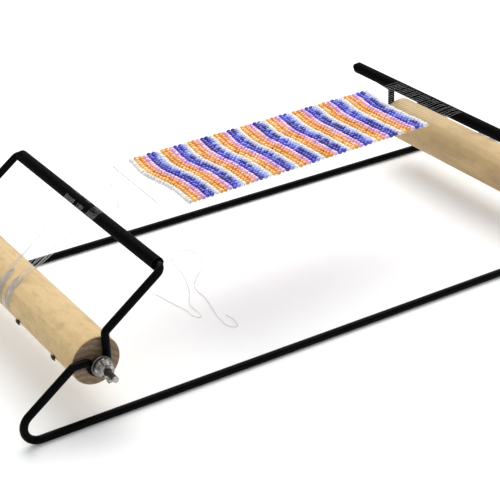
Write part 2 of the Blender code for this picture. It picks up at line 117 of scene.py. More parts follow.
# Threads, beads and needle
SKEW = 0.0345
THREAD_R = 0.00004
ROW_PITCH = 0.00225
ROW_COUNT = 55
BEAD_PITCH = 0.00190
BEADS_ACROSS = 26
BEAD_R = 0.00111
BEAD_HALF = 0.00078
BEAD_HOLE_R = 0.00036
TAIL_R = 0.00018
WOUND_R = 0.00008
WOUND_STRANDS = 15
STRIP_CLEAR = 0.0034
GUIDE_CLEAR = 0.0034
ROUTE_STEPS = 24
ROUTE_POINTS = 420
WEFT_TURN = 0.66
# Threads on the far one of the two windings of each roller
FAR_THREADS = {"left": 11, "right": 13}

STRIP_LOW, STRIP_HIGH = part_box("bead_strip")
STRIP_LEFT = STRIP_LOW.x
STRIP_Z = (STRIP_LOW.z + STRIP_HIGH.z) / 2
GROOVE_R = COIL_R + 0.00020
WARP_Z = BAR_Z + GUIDE_R + THREAD_R

# ---------------------------------------------------------------- mesh helpers


class Shape:
    """Collects parts of one mesh, each with its own number for the surface to read."""

    def __init__(self):
        self.verts = []
        self.faces = []
        self.tones = []
        self.count = 0

    def add(self, verts, faces, tone=0.0):
        self.verts.append(np.asarray(verts, float))
        self.faces.extend([tuple(int(i) + self.count for i in face) for face in faces])
        self.tones.append(np.full(len(verts), tone))
        self.count += len(verts)

    def make(self, name, material, place=(0.0, 0.0, 0.0), sharp=None):
        mesh = bpy.data.meshes.new(name)
        points = np.concatenate(self.verts) - np.array(place)
        mesh.from_pydata(points.tolist(), [], self.faces)
        tone = mesh.attributes.new("tone", "FLOAT", "POINT")
        tone.data.foreach_set("value", np.concatenate(self.tones).astype(np.float32))
        mesh.shade_smooth()
        if sharp:
            mesh.set_sharp_from_angle(angle=math.radians(sharp))
        mesh.materials.append(material)
        obj = bpy.data.objects.new(name, mesh)
        obj.location = place
        bpy.context.scene.collection.objects.link(obj)
        return obj


def unit(v):
    return v / np.linalg.norm(v, axis=-1, keepdims=True)


def sweep(points, radius, sides, closed=False):
    """A tube along points. Its rings turn as little as they can from one to the next."""
    p = np.asarray([tuple(q) for q in points], float)
    n = len(p)
    r = np.broadcast_to(np.asarray(radius, float), (n,))
    if closed:
        way = unit(np.roll(p, -1, 0) - np.roll(p, 1, 0))
    else:
        step = unit(np.diff(p, axis=0))
        way = np.empty_like(p)
        way[0], way[-1] = step[0], step[-1]
        way[1:-1] = unit(step[:-1] + step[1:])
    side = np.array((0.0, 0.0, 1.0)) if abs(way[0][2]) < 0.9 else np.array((1.0, 0.0, 0.0))
    side = unit(side - way[0] * side.dot(way[0]))
    angle = np.arange(sides) * 2 * np.pi / sides
    c, s = np.cos(angle)[:, None], np.sin(angle)[:, None]
    verts = []
    for i in range(n):
        side = unit(side - way[i] * side.dot(way[i]))
        other = np.cross(way[i], side)
        verts.append(p[i] + r[i] * (c * side + s * other))
    verts = np.concatenate(verts)
    faces = []
    for i in range(n if closed else n - 1):
        a, b = i * sides, ((i + 1) % n) * sides
        faces += [(a + k, a + (k + 1) % sides, b + (k + 1) % sides, b + k) for k in range(sides)]
    if not closed:
        faces.append(tuple(range(sides - 1, -1, -1)))
        faces.append(tuple(range((n - 1) * sides, n * sides)))
    return verts, faces


def lathe(profile, sides, centre=(0.0, 0.0, 0.0), axis="Y"):
    """A profile of (radius, height) turned about an axis into a closed skin."""
    angle = np.arange(sides) * 2 * np.pi / sides
    verts = []
    rings = []
    for radius, height in profile:
        if radius < 1e-9:
            rings.append([len(verts)])
            verts.append((0.0, 0.0, height))
        else:
            rings.append(list(range(len(verts), len(verts) + sides)))
            verts += [(radius * math.cos(a), radius * math.sin(a), height) for a in angle]
    faces = []
    pairs = list(zip(rings, rings[1:]))
    if len(rings[0]) > 1 and len(rings[-1]) > 1:
        pairs.append((rings[-1], rings[0]))
    for a, b in pairs:
        for k in range(sides):
            j = (k + 1) % sides
            if len(a) == 1:
                faces.append((a[0], b[k], b[j]))
            elif len(b) == 1:
                faces.append((a[k], b[0], a[j]))
            else:
                faces.append((a[k], b[k], b[j], a[j]))
    verts = np.array(verts)
    if axis == "Y":
        verts = verts[:, [0, 2, 1]]
    return verts + np.array(centre), faces


def outward(obj):
    """Makes a closed mesh's faces look outward."""
    work = bmesh.new()
    work.from_mesh(obj.data)
    bmesh.ops.recalc_face_normals(work, faces=work.faces)
    work.to_mesh(obj.data)
    work.free()
    return obj


def apply_modifiers(obj):
    """Turns what an object's modifiers make into its own mesh, and returns it."""
    graph = bpy.context.evaluated_depsgraph_get()
    mesh = bpy.data.meshes.new_from_object(obj.evaluated_get(graph))
    obj.modifiers.clear()
    obj.data = mesh
    return mesh


def round_corners(corners, step=math.radians(7)):
    """Points along a polyline whose inner corners, given as (point, radius), become arcs."""
    points = [corners[0][0]]
    for (before, _), (corner, radius), (after, _) in zip(corners, corners[1:], corners[2:]):
        to_before = (before - corner).normalized()
        to_after = (after - corner).normalized()
        half = to_before.angle(to_after) / 2
        centre = corner + (to_before + to_after).normalized() * (radius / math.sin(half))
        start = corner + to_before * (radius / math.tan(half)) - centre
        end = corner + to_after * (radius / math.tan(half)) - centre
        turn = start.angle(end)
        steps = max(3, round(turn / step))
        for number in range(steps + 1):
            t = number / steps
            points.append(centre + (start * math.sin((1 - t) * turn)
                                    + end * math.sin(t * turn)) / math.sin(turn))
    points.append(corners[-1][0])
    return points


def smooth_route(knots, count):
    """Evenly spaced points on a Catmull-Rom curve through the knots."""
    padded = [2 * knots[0] - knots[1]] + knots + [2 * knots[-1] - knots[-2]]
    dense = []
    for p0, p1, p2, p3 in zip(padded, padded[1:], padded[2:], padded[3:]):
        for number in range(ROUTE_STEPS):
            t = number / ROUTE_STEPS
            dense.append(0.5 * (2 * p1 + (p2 - p0) * t + (2 * p0 - 5 * p1 + 4 * p2 - p3) * t ** 2
                                + (3 * p1 - p0 - 3 * p2 + p3) * t ** 3))
    dense.append(knots[-1])
    reach = [0.0]
    for a, b in zip(dense, dense[1:]):
        reach.append(reach[-1] + (b - a).length)
    points = []
    index = 0
    for number in range(count):
        target = reach[-1] * number / (count - 1)
        while index < len(reach) - 2 and reach[index + 1] < target:
            index += 1
        span = reach[index + 1] - reach[index]
        points.append(dense[index].lerp(dense[index + 1], (target - reach[index]) / span))
    return points, reach[-1]


# ---------------------------------------------------------------- material helpers


class Look:
    """A Principled material and short ways to add nodes to it."""

    def __init__(self, name, roughness=0.5, metallic=0.0):
        self.material = bpy.data.materials.new(name)
        self.material.use_nodes = True
        self.tree = self.material.node_tree
        self.shader = self.tree.nodes["Principled BSDF"]
        self.shader.inputs["Roughness"].default_value = roughness
        self.shader.inputs["Metallic"].default_value = metallic
        self.place = self.node("ShaderNodeTexCoord").outputs["Object"]

    def node(self, kind, **settings):
        made = self.tree.nodes.new(kind)
        for key, value in settings.items():
            setattr(made, key, value)
        return made

    def link(self, out, into):
        self.tree.links.new(out, into)

    def scaled(self, scale, offset=(0.0, 0.0, 0.0)):
        mapping = self.node("ShaderNodeMapping")
        mapping.inputs["Scale"].default_value = scale
        mapping.inputs["Location"].default_value = offset
        self.link(self.place, mapping.inputs["Vector"])
        return mapping.outputs["Vector"]

    def noise(self, scale, detail=3.0, rough=0.55, offset=(0.0, 0.0, 0.0)):
        made = self.node("ShaderNodeTexNoise")
        made.inputs["Scale"].default_value = 1.0
        made.inputs["Detail"].default_value = detail
        made.inputs["Roughness"].default_value = rough
        size = scale if isinstance(scale, tuple) else (scale,) * 3
        self.link(self.scaled(size, offset), made.inputs["Vector"])
        return made.outputs["Fac"]

    def ramp(self, value, *stops):
        made = self.node("ShaderNodeValToRGB")
        elements = made.color_ramp.elements
        while len(elements) < len(stops):
            elements.new(0.5)
        for element, (position, colour) in zip(elements, stops):
            element.position = position
            grey = (colour,) * 3 if isinstance(colour, (int, float)) else colour
            element.color = (*grey, 1.0)
        self.link(value, made.inputs["Fac"])
        return made.outputs["Color"]

    def maths(self, operation, a, b=None):
        made = self.node("ShaderNodeMath", operation=operation)
        for socket, value in zip(made.inputs, (a, b)):
            if value is None:
                continue
            if isinstance(value, (int, float)):
                socket.default_value = value
            else:
                self.link(value, socket)
        return made.outputs["Value"]

    def mix(self, factor, a, b, blend="MIX"):
        made = self.node("ShaderNodeMix", data_type="RGBA", blend_type=blend)
        for socket, value in ((made.inputs[0], factor), (made.inputs[6], a), (made.inputs[7], b)):
            if isinstance(value, (int, float)):
                socket.default_value = value
            elif isinstance(value, tuple):
                socket.default_value = (*value, 1.0)
            else:
                self.link(value, socket)
        return made.outputs[2]

    def tone(self):
        return self.node("ShaderNodeAttribute", attribute_name="tone").outputs["Fac"]

    def colour(self, out):
        self.link(out, self.shader.inputs["Base Color"])

    def rough(self, out):
        self.link(out, self.shader.inputs["Roughness"])

    def bump(self, height, distance, strength=1.0):
        made = self.node("ShaderNodeBump")
        made.inputs["Distance"].default_value = distance
        made.inputs["Strength"].default_value = strength
        self.link(height, made.inputs["Height"])
        self.link(made.outputs["Normal"], self.shader.inputs["Normal"])


def lacquer_look():
    """Black stoved lacquer: slight orange peel, rubbed satin patches."""
    look = Look("Black lacquer", roughness=0.3)
    look.shader.inputs["Specular IOR Level"].default_value = 0.04
    patches = look.noise(260.0, 4.0)
    look.colour(look.ramp(patches, (0.3, (0.0004, 0.0004, 0.0005)),
                          (0.75, (0.0020, 0.0020, 0.0022))))
    look.rough(look.ramp(look.noise(900.0, 3.0), (0.3, 0.24), (0.8, 0.44)))
    look.bump(look.noise(1700.0, 2.0), 0.00004, 0.5)
    return look.material


def guide_look():
    """Dull black spring wire, dusty in places."""
    look = Look("Matt black spring", roughness=0.5)
    look.shader.inputs["Specular IOR Level"].default_value = 0.03
    dust = look.noise(1200.0, 5.0, 0.7)
    look.colour(look.ramp(dust, (0.35, (0.0004, 0.0004, 0.0004)), (0.8, (0.0034, 0.0034, 0.0032))))
    look.rough(look.ramp(dust, (0.3, 0.36), (0.8, 0.62)))
    look.bump(look.noise(4200.0, 3.0), 0.00003, 0.5)
    return look.material


def wood_look(name, painted_shade):
    """Pale dowel: long grain with short dark pores on the side and rings on the ends. The ends are darker,
    partly end grain and partly painted shade, and large mottles of painted shade darken the wood as
    strongly as the second argument asks.
    """
    look = Look(name, roughness=0.5)
    look.shader.inputs["Specular IOR Level"].default_value = 0.3
    warp = look.noise((160.0, 18.0, 160.0), 3.0)
    split = look.node("ShaderNodeSeparateXYZ")
    look.link(look.place, split.inputs[0])
    x = look.maths("ADD", split.outputs["X"], 0.0065)
    z = look.maths("ADD", split.outputs["Z"], 0.0150)
    away = look.maths("SQRT", look.maths("ADD", look.maths("MULTIPLY", x, x),
                                         look.maths("MULTIPLY", z, z)))
    bent = look.maths("ADD", look.maths("MULTIPLY", away, 2600.0), look.maths("MULTIPLY", warp, 9.0))
    rings = look.maths("ADD", look.maths("MULTIPLY", look.maths("SINE", bent), 0.5), 0.5)
    streaks = look.noise((900.0, 22.0, 900.0), 5.0, 0.62)
    broad = look.noise((130.0, 10.0, 130.0), 2.0)
    light = look.mix(look.ramp(broad, (0.3, 0.0), (0.7, 1.0)),
                     (0.63, 0.44, 0.205), (0.74, 0.55, 0.30))
    grain = look.mix(look.maths("MULTIPLY", rings, 0.20), light, (0.52, 0.345, 0.150))
    grain = look.mix(look.ramp(streaks, (0.42, 0.0), (0.72, 0.30)), grain, (0.44, 0.295, 0.125))
    flecks = look.ramp(look.noise((1300.0, 330.0, 1300.0), 3.0, 0.6), (0.62, 0.0), (0.72, 1.0))
    grain = look.mix(look.maths("MULTIPLY", flecks, 0.50), grain, (0.25, 0.155, 0.07))
    blotch = look.ramp(look.noise((240.0, 120.0, 240.0), 3.0, 0.62, (3.0, 1.0, 7.0)),
                       (0.48, 0.0), (0.70, 1.0))
    grain = look.mix(look.maths("MULTIPLY", blotch, 0.46), grain, (0.36, 0.265, 0.115))
    # painted shade in large dark mottles; its strength is set per roller, slight on the left and strong on
    # the right
    shade_mottle = look.ramp(look.noise((90.0, 28.0, 90.0), 3.0, 0.6, (1.0, 4.0, 2.0)),
                      (0.30, 0.35), (0.62, 1.0))
    grain = look.mix(look.maths("MULTIPLY", shade_mottle, painted_shade), grain, (0.33, 0.225, 0.105))
    # darker end faces: partly the darker end grain, partly painted shade on the ends
    facing = look.node("ShaderNodeSeparateXYZ")
    look.link(look.node("ShaderNodeTexCoord").outputs["Normal"], facing.inputs[0])
    end_grain_and_shade = look.ramp(look.maths("ABSOLUTE", facing.outputs["Y"]), (0.72, 0.0), (0.9, 1.0))
    end = look.mix(look.maths("MULTIPLY", rings, 0.8), (0.25, 0.17, 0.11), (0.14, 0.092, 0.055))
    end = look.mix(look.ramp(look.noise(2600.0, 3.0), (0.5, 0.0), (0.65, 0.6)),
                   end, (0.10, 0.065, 0.04))
    look.colour(look.mix(end_grain_and_shade, grain, end))
    look.rough(look.ramp(streaks, (0.3, 0.44), (0.75, 0.64)))
    look.bump(look.maths("ADD", look.maths("MULTIPLY", streaks, 0.6),
                         look.maths("MULTIPLY", flecks, -0.8)), 0.00006, 0.6)
    return look.material


def steel_look(name, light, dark, rough_low, rough_high, scale):
    """Plated steel with fine scratches, dull patches and grime in places."""
    look = Look(name, metallic=1.0)
    patches = look.noise(scale, 4.0, 0.6)
    scratches = look.noise((scale * 0.8, scale * 7.0, scale * 0.8), 3.0, 0.7)
    base = look.mix(look.ramp(patches, (0.35, 0.0), (0.7, 1.0)), light, dark)
    look.colour(look.mix(look.ramp(scratches, (0.6, 0.0), (0.75, 0.35)), base, (0.12, 0.11, 0.10)))
    look.rough(look.ramp(patches, (0.3, rough_low), (0.75, rough_high)))
    look.bump(scratches, 0.00003, 0.4)
    return look.material


def stud_look(tip):
    """Oil-blacked screw thread, lighter towards its tip, past a height along its own Y."""
    look = Look("Blackened stud", metallic=1.0)
    split = look.node("ShaderNodeSeparateXYZ")
    look.link(look.place, split.inputs[0])
    patches = look.noise(1400.0, 4.0, 0.6)
    # the band from a given height out to the tip is painted lighter than the rest of the stud
    light_tip = look.maths("ADD", split.outputs["Y"], look.maths("MULTIPLY", patches, 0.0010))
    light_tip = look.maths("LESS_THAN", light_tip, tip)
    dark = look.ramp(patches, (0.35, (0.022, 0.020, 0.018)), (0.7, (0.085, 0.080, 0.074)))
    look.colour(look.mix(light_tip, dark, (0.40, 0.385, 0.36)))
    look.rough(look.ramp(patches, (0.3, 0.24), (0.75, 0.44)))
    look.bump(look.noise(5200.0, 3.0), 0.00003, 0.4)
    return look.material


def thread_look(name, light, dark, clear):
    """Waxed nylon thread: fine twist, soft sheen, a little light coming through."""
    look = Look(name, roughness=0.55)
    look.shader.inputs["Transmission Weight"].default_value = clear
    look.shader.inputs["Sheen Weight"].default_value = 0.25
    fibres = look.noise((9000.0, 9000.0, 9000.0), 3.0, 0.6)
    uneven = look.noise(420.0, 2.0)
    look.colour(look.mix(look.ramp(uneven, (0.3, 0.0), (0.7, 1.0)), dark, light))
    look.rough(look.ramp(fibres, (0.3, 0.45), (0.7, 0.75)))
    look.bump(fibres, 0.00004, 0.6)
    return look.material


def bead_look(name, stops, clear=0.0, rough=0.12):
    """Shiny seed bead: each bead's own tone picks its colour, which swirls darker in places."""
    look = Look(name, roughness=rough)
    look.shader.inputs["Coat Weight"].default_value = 0.0 if clear else 0.6
    look.shader.inputs["Coat Roughness"].default_value = 0.05
    look.shader.inputs["Transmission Weight"].default_value = clear
    look.shader.inputs["IOR"].default_value = 1.06 if clear else 1.5
    own = look.ramp(look.tone(), *stops)
    swirl = look.noise(1100.0, 3.0, 0.6)
    deep = look.mix(1.0, own, own, "MULTIPLY")
    look.colour(look.mix(look.ramp(swirl, (0.40, 0.0), (0.72, 0.75)), own, deep))
    look.rough(look.ramp(swirl, (0.3, rough), (0.75, rough + 0.14)))
    look.bump(look.noise(2600.0, 2.0), 0.00005, 0.35)
    return look.material


def floor_look():
    look = Look("Pale floor", roughness=0.7)
    look.shader.inputs["Specular IOR Level"].default_value = 0.2
    look.colour(look.ramp(look.noise(3.0, 2.0), (0.3, 0.90), (0.7, 0.93)))
    return look.material


LACQUER = lacquer_look()
SPRING = guide_look()
# the right roller's wood is the left's with much more painted shade
WOOD = {"left": wood_look("Pale dowel wood", 0.06), "right": wood_look("Shaded dowel wood", 0.66)}
STEEL = steel_look("Zinc plated steel", (0.24, 0.23, 0.215), (0.06, 0.055, 0.05), 0.22, 0.48, 900.0)
STUD_STEEL = stud_look(-0.0154)
DARK_STEEL = steel_look("Oiled steel", (0.07, 0.05, 0.035), (0.02, 0.015, 0.011), 0.35, 0.6, 1500.0)
ZINC = steel_look("Cast zinc", (0.50, 0.48, 0.45), (0.05, 0.046, 0.042), 0.24, 0.50, 760.0)
NEEDLE_STEEL = steel_look("Needle steel", (0.64, 0.64, 0.64), (0.46, 0.46, 0.46), 0.25, 0.45, 1600.0)
THREAD = thread_look("White thread", (0.80, 0.80, 0.79), (0.66, 0.66, 0.65), 0.5)
LOOSE = thread_look("Loose white thread", (0.98, 0.98, 0.97), (0.92, 0.92, 0.91), 0.75)
WOUND = thread_look("Wound thread", (0.93, 0.88, 0.87), (0.62, 0.55, 0.54), 0.3)


def keep(obj, body, slot, *nodes):
    """The piece rides on a body and stands for CAD nodes, which it hides; the slot is not used."""
    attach(obj, body)
    if nodes:
        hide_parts(*nodes)


# ---------------------------------------------------------------- camera, floor and light

# Lens and sensor in millimetres, turn as yaw, pitch and roll in degrees
CAMERA_LENS = 104.04
CAMERA_SENSOR = 36.0
CAMERA_TURN = (31.16, 27.68, -2.1)
CAMERA_PLACE = (-0.3001, MIDDLE_Y - 0.4754, 0.3036)


def add_camera():
    data = bpy.data.cameras.new("Camera")
    data.lens = CAMERA_LENS
    data.sensor_width = CAMERA_SENSOR
    data.clip_start = 0.01
    camera = bpy.data.objects.new("Camera", data)
    bpy.context.scene.collection.objects.link(camera)
    yaw, pitch, roll = (math.radians(a) for a in CAMERA_TURN)
    ahead = Vector((math.sin(yaw) * math.cos(pitch), math.cos(yaw) * math.cos(pitch),
                    -math.sin(pitch)))
    right = Vector((math.cos(yaw), -math.sin(yaw), 0.0))
    up = right.cross(ahead)
    right, up = (math.cos(roll) * right + math.sin(roll) * up,
                 math.cos(roll) * up - math.sin(roll) * right)
    turn = Matrix((right, up, -ahead)).transposed().to_4x4()
    camera.matrix_world = Matrix.Translation(CAMERA_PLACE) @ turn
    bpy.context.scene.camera = camera


def add_area(name, place, target, size, power, colour):
    data = bpy.data.lights.new(name, "AREA")
    data.shape = "RECTANGLE"
    data.size, data.size_y = size
    data.energy = power
    data.color = colour
    light = bpy.data.objects.new(name, data)
    light.location = place
    light.rotation_euler = (Vector(target) - Vector(place)).to_track_quat("-Z", "Y").to_euler()
    bpy.context.scene.collection.objects.link(light)


def add_stage():
    shape = Shape()
    half = 3.0
    shape.add([(-half, -half, 0), (half, -half, 0), (half, half, 0), (-half, half, 0)],
              [(0, 1, 2, 3)])
    floor = shape.make("floor", floor_look())
    world = bpy.data.worlds.new("Soft studio")
    world.use_nodes = True
    background = world.node_tree.nodes["Background"]
    background.inputs["Color"].default_value = (0.95, 0.985, 1.0, 1.0)
    background.inputs["Strength"].default_value = 0.62
    bpy.context.scene.world = world
    add_area("Overhead softbox", (0.32, 0.48, 0.92), (0.0, 0.0, 0.0), (1.35, 1.15), 15.3,
             (1.0, 0.985, 0.97))
    add_area("Front fill", (-0.3, -1.1, 0.8), (0.0, 0.0, 0.03), (0.8, 0.8), 2.5, (1.0, 1.0, 1.0))
    bpy.context.scene.view_settings.view_transform = "Standard"


add_camera()
add_stage()

# ---------------------------------------------------------------- loose weft thread

NEEDLE_LOW, NEEDLE_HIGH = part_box("beading_needle")
NEEDLE_R = 0.00025
NEEDLE_Z = (NEEDLE_LOW.z + NEEDLE_HIGH.z) / 2
EYE_X = NEEDLE_HIGH.x - NEEDLE_R


def tail_knots():
    """Route of the loose weft thread: off the needle's eye, down, and curled on the table."""
    low = TAIL_R + 0.0001
    eye_y = NEEDLE_HIGH.y - MIDDLE_Y
    hanging = [
        (EYE_X, eye_y + 0.0008, NEEDLE_Z), (EYE_X, eye_y + 0.0030, NEEDLE_Z),
        (EYE_X + 0.0001, eye_y + 0.0043, NEEDLE_Z - 0.0012),
        (EYE_X + 0.0003, eye_y + 0.0044, NEEDLE_Z - 0.0035),
        (-0.0644, 0.0236, 0.0470), (-0.0627, 0.0200, 0.0340), (-0.0604, 0.0154, 0.0180),
        (-0.0584, 0.0118, 0.0060), (-0.0570, 0.0098, 0.0014), (-0.0560, 0.0086, low),
    ]
    lying = [
        (-0.0552, 0.0065), (-0.0537, -0.0016), (-0.0518, -0.0100), (-0.0517, -0.0150),
        (-0.0512, -0.0180), (-0.0497, -0.0194), (-0.0484, -0.0165), (-0.0478, -0.0075),
        (-0.0425, 0.0025), (-0.0380, 0.0141), (-0.0348, 0.0288), (-0.0330, 0.0350),
        (-0.0285, 0.0385), (-0.0235, 0.0350), (-0.0225, 0.0270), (-0.0270, 0.0180),
        (-0.0340, 0.0110), (-0.0388, 0.0038), (-0.0399, -0.0075), (-0.0420, -0.0164),
        (-0.0435, -0.0229), (-0.0441, -0.0300), (-0.0425, -0.0343), (-0.0404, -0.0338),
        (-0.0393, -0.0290), (-0.0400, -0.0240),
    ]
    knots = hanging + [(x, y, low) for x, y in lying]
    return [Vector((x, MIDDLE_Y + y, z)) for x, y, z in knots]


def loose_thread():
    route, length = smooth_route(tail_knots(), ROUTE_POINTS)
    curve = bpy.data.curves.new("loose_weft_thread", "CURVE")
    curve.dimensions = "3D"
    curve.bevel_depth = TAIL_R
    curve.bevel_resolution = 2
    curve.use_fill_caps = True
    spline = curve.splines.new("POLY")
    spline.points.add(len(route) - 1)
    for point, place in zip(spline.points, route):
        point.co = (*place, 1.0)
    spline.use_smooth = True
    curve.materials.append(LOOSE)
    thread = bpy.data.objects.new("loose_weft_thread", curve)
    bpy.context.scene.collection.objects.link(thread)
    keep(thread, "work", "thread", "weft_thread_tail")


loose_thread()

# ---------------------------------------------------------------- frame wires and thread guides


def arm_corners(seat, y, side):
    """Corners (place, bend radius) of a right-hand arm, as the solid has them."""
    corner_x = BAR_X + ARM_RUN
    slope = (BAR_Z - WIRE_R) / ARM_RUN
    seat_x, seat_z = abs(seat.x), seat.z
    step_z = seat_z + SEAT_LIP
    step_x = corner_x - (step_z - WIRE_R) / slope
    inner_x = seat_x - SEAT_R
    inner_z = WIRE_R + (corner_x - inner_x) * slope
    return [
        (Vector((corner_x, y, WIRE_R)), FOOT_BEND_R),
        (Vector((step_x, y, step_z)), KNEE_R),
        (Vector((seat_x + SEAT_R, y, step_z)), SEAT_LIP * 0.98),
        (Vector((seat_x + SEAT_R, y, seat_z - SEAT_R)), SEAT_R * 0.98),
        (Vector((inner_x, y, seat_z - SEAT_R)), SEAT_R * 0.98),
        (Vector((inner_x, y, inner_z)), KNEE_R),
        (Vector((BAR_X, y, BAR_Z)), TOP_BEND_R),
        (Vector((BAR_X, MIDDLE_Y + side * BAR_GAP, BAR_Z)), 0.0),
    ]


def side_wire(name, side, node):
    low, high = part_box(node)
    y = low.y + WIRE_R if side < 0 else high.y - WIRE_R
    left = [(Vector((-p.x, p.y, p.z)), radius)
            for p, radius in reversed(arm_corners(SEAT["left"], y, side))]
    shape = Shape()
    shape.add(*sweep(round_corners(left + arm_corners(SEAT["right"], y, side)), WIRE_R, 28))
    keep(outward(shape.make(name, LACQUER, sharp=50)), "frame", "wire", node)


def guide_coil(name, centre, node):
    """Close-wound black spring pushed over the top bar, its end turns flat."""
    turns = round(2 * GUIDE_HALF / COIL_PITCH) - 1
    per_turn = 18
    span = 2 * (GUIDE_HALF - COIL_WIRE_R)
    points = []
    for number in range(turns * per_turn + 1):
        turn = number / per_turn
        t = (turn - 0.7) / (turns - 1.4)
        y = -span / 2 + span * min(1.0, max(0.0, t))
        a = 2 * math.pi * turn
        points.append((centre.x + COIL_R * math.cos(a), centre.y + y,
                       centre.z + COIL_R * math.sin(a)))
    shape = Shape()
    shape.add(*sweep(points, COIL_WIRE_R, 8))
    keep(outward(shape.make(name, SPRING)), "frame", "guide", node)


side_wire("front_wire", -1, "front_side_wire")
side_wire("back_wire", 1, "back_side_wire")
for side_name, side in SIDES:
    guide_coil(side_name + "_guide_spring", GUIDE[side_name], side_name + "_thread_guide")

# ---------------------------------------------------------------- rollers and hardware


def dowel(side_name):
    centre = middle_of(side_name + "_roller_dowel")
    bore = STUD_R + BORE_CLEAR
    end = ROLLER_HALF
    deep = end - SCREW_DEPTH
    profile = [(0.0, deep), (bore, deep), (bore, end - BORE_CLEAR), (bore + BORE_CLEAR, end),
               (ROLLER_R - EDGE_R, end)]
    profile += [(ROLLER_R - EDGE_R * (1 - math.sin(turn)), end - EDGE_R * (1 - math.cos(turn)))
                for turn in (math.radians(a) for a in (30, 60, 90))]
    around = list(profile)
    for number in range(1, 40):
        around.append((ROLLER_R, (end - EDGE_R) * (1 - 2 * number / 40)))
    around += [(r, -y) for r, y in reversed(profile)]
    shape = Shape()
    shape.add(*lathe(around, 96, centre))
    keep(outward(shape.make(side_name + "_wooden_roller", WOOD[side_name], centre, sharp=40)),
         side_name + "_roller", "wood", side_name + "_roller_dowel")


def screw_thread(radius, depth, pitch, start, end, sides, axis_place):
    """A rod along Y with a helical thread; start and end are Y from the axis's middle."""
    steps = int(abs(end - start) / (pitch / 8))
    verts = []
    for i in range(steps + 1):
        y = start + (end - start) * i / steps
        left = abs(end - y)
        taper = 0.0 if left > 2 * depth else (1 - left / (2 * depth)) * depth
        for k in range(sides):
            a = 2 * math.pi * k / sides
            phase = (y / pitch + k / sides) % 1.0
            ridge = abs(2 * phase - 1)
            r = radius - depth * (1 - min(1.0, ridge * 1.25)) - taper
            verts.append((r * math.cos(a), y, r * math.sin(a)))
    faces = []
    for i in range(steps):
        for k in range(sides):
            j = (k + 1) % sides
            faces.append((i * sides + k, i * sides + j, (i + 1) * sides + j, (i + 1) * sides + k))
    faces.append(tuple(range(sides)))
    faces.append(tuple(steps * sides + k for k in reversed(range(sides))))
    return np.array(verts) + np.array(axis_place), faces


def wing_stud(side_name):
    low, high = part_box(side_name + "_wing_stud")
    centre = (low + high) / 2
    shape = Shape()
    ends = high.y - centre.y, low.y - centre.y
    shape.add(*screw_thread(STUD_R, THREAD_DEPTH, THREAD_PITCH, *ends, 28, centre))
    keep(outward(shape.make(side_name + "_threaded_stud", STUD_STEEL, centre, sharp=60)),
         side_name + "_roller", "steel", side_name + "_wing_stud")


def washer(side_name):
    low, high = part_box(side_name + "_stud_washer")
    centre = (low + high) / 2
    half = (high.y - low.y) / 2
    edge = 0.00018
    profile = [(WASHER_HOLE_R, -half), (WASHER_R - edge, -half), (WASHER_R, -half + edge),
               (WASHER_R, half - edge), (WASHER_R - edge, half),
               (WASHER_HOLE_R + edge, half), (WASHER_HOLE_R, half - edge)]
    shape = Shape()
    shape.add(*lathe(profile, 64, centre))
    keep(outward(shape.make(side_name + "_washer", STEEL, centre, sharp=30)),
         side_name + "_roller", "steel", side_name + "_stud_washer")


def ear_outline():
    """One ear seen square on: out from the hub, round its tip and back to the hub's nose."""
    centre = Vector((NUT_SPAN - NUT_TIP_R, NUT_LENGTH + NUT_RISE - NUT_TIP_R))
    points = [Vector((NUT_NOSE_R * 0.6, 0.0008)), Vector((NUT_FOOT_R * 0.97, 0.0008))]
    for number in range(13):
        turn = math.radians(-45 + 205 * number / 12)
        points.append(centre + NUT_TIP_R * Vector((math.cos(turn), math.sin(turn))))
    points.append(Vector((NUT_NOSE_R * 0.6, NUT_LENGTH - 0.0006)))
    return points


def wing_nut(side_name):
    """Cast wing nut: hub and two ears fused and softened into one skin."""
    base_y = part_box(side_name + "_wing_nut")[1].y
    axis = SEAT[side_name]
    shape = Shape()
    bore = STUD_R + 0.00025
    shape.add(*lathe([(bore, 0.0), (NUT_FOOT_R, 0.0), (NUT_FOOT_R, 0.0010),
                      (NUT_NOSE_R, NUT_LENGTH - 0.0003), (NUT_NOSE_R - 0.0003, NUT_LENGTH),
                      (bore, NUT_LENGTH)], 48))
    outline = ear_outline()
    n = len(outline)
    for sign in (-1, 1):
        verts = [(sign * p.x, p.y, z) for z in (-NUT_EAR_HALF, NUT_EAR_HALF) for p in outline]
        faces = [tuple(range(n)), tuple(range(2 * n - 1, n - 1, -1))]
        faces += [(i, i + n, (i + 1) % n + n, (i + 1) % n) for i in range(n)]
        shape.add(verts, faces)
    nut = outward(shape.make(side_name + "_wing_nut_cast", ZINC))
    fuse = nut.modifiers.new("Fuse", "REMESH")
    fuse.mode = "VOXEL"
    fuse.voxel_size = NUT_VOXEL
    soften = nut.modifiers.new("Soften", "SMOOTH")
    soften.factor = 0.5
    soften.iterations = 6
    apply_modifiers(nut).shade_smooth()
    # the hub's foot faces the washer at +Y and its nose points to -Y
    nut.data.transform(Matrix.Rotation(NUT_TILT, 4, "Y") @ Matrix.Diagonal((1.0, -1.0, 1.0, 1.0)))
    nut.data.flip_normals()
    nut.location = (axis.x, base_y, axis.z)
    keep(nut, side_name + "_nut", "zinc", side_name + "_wing_nut")


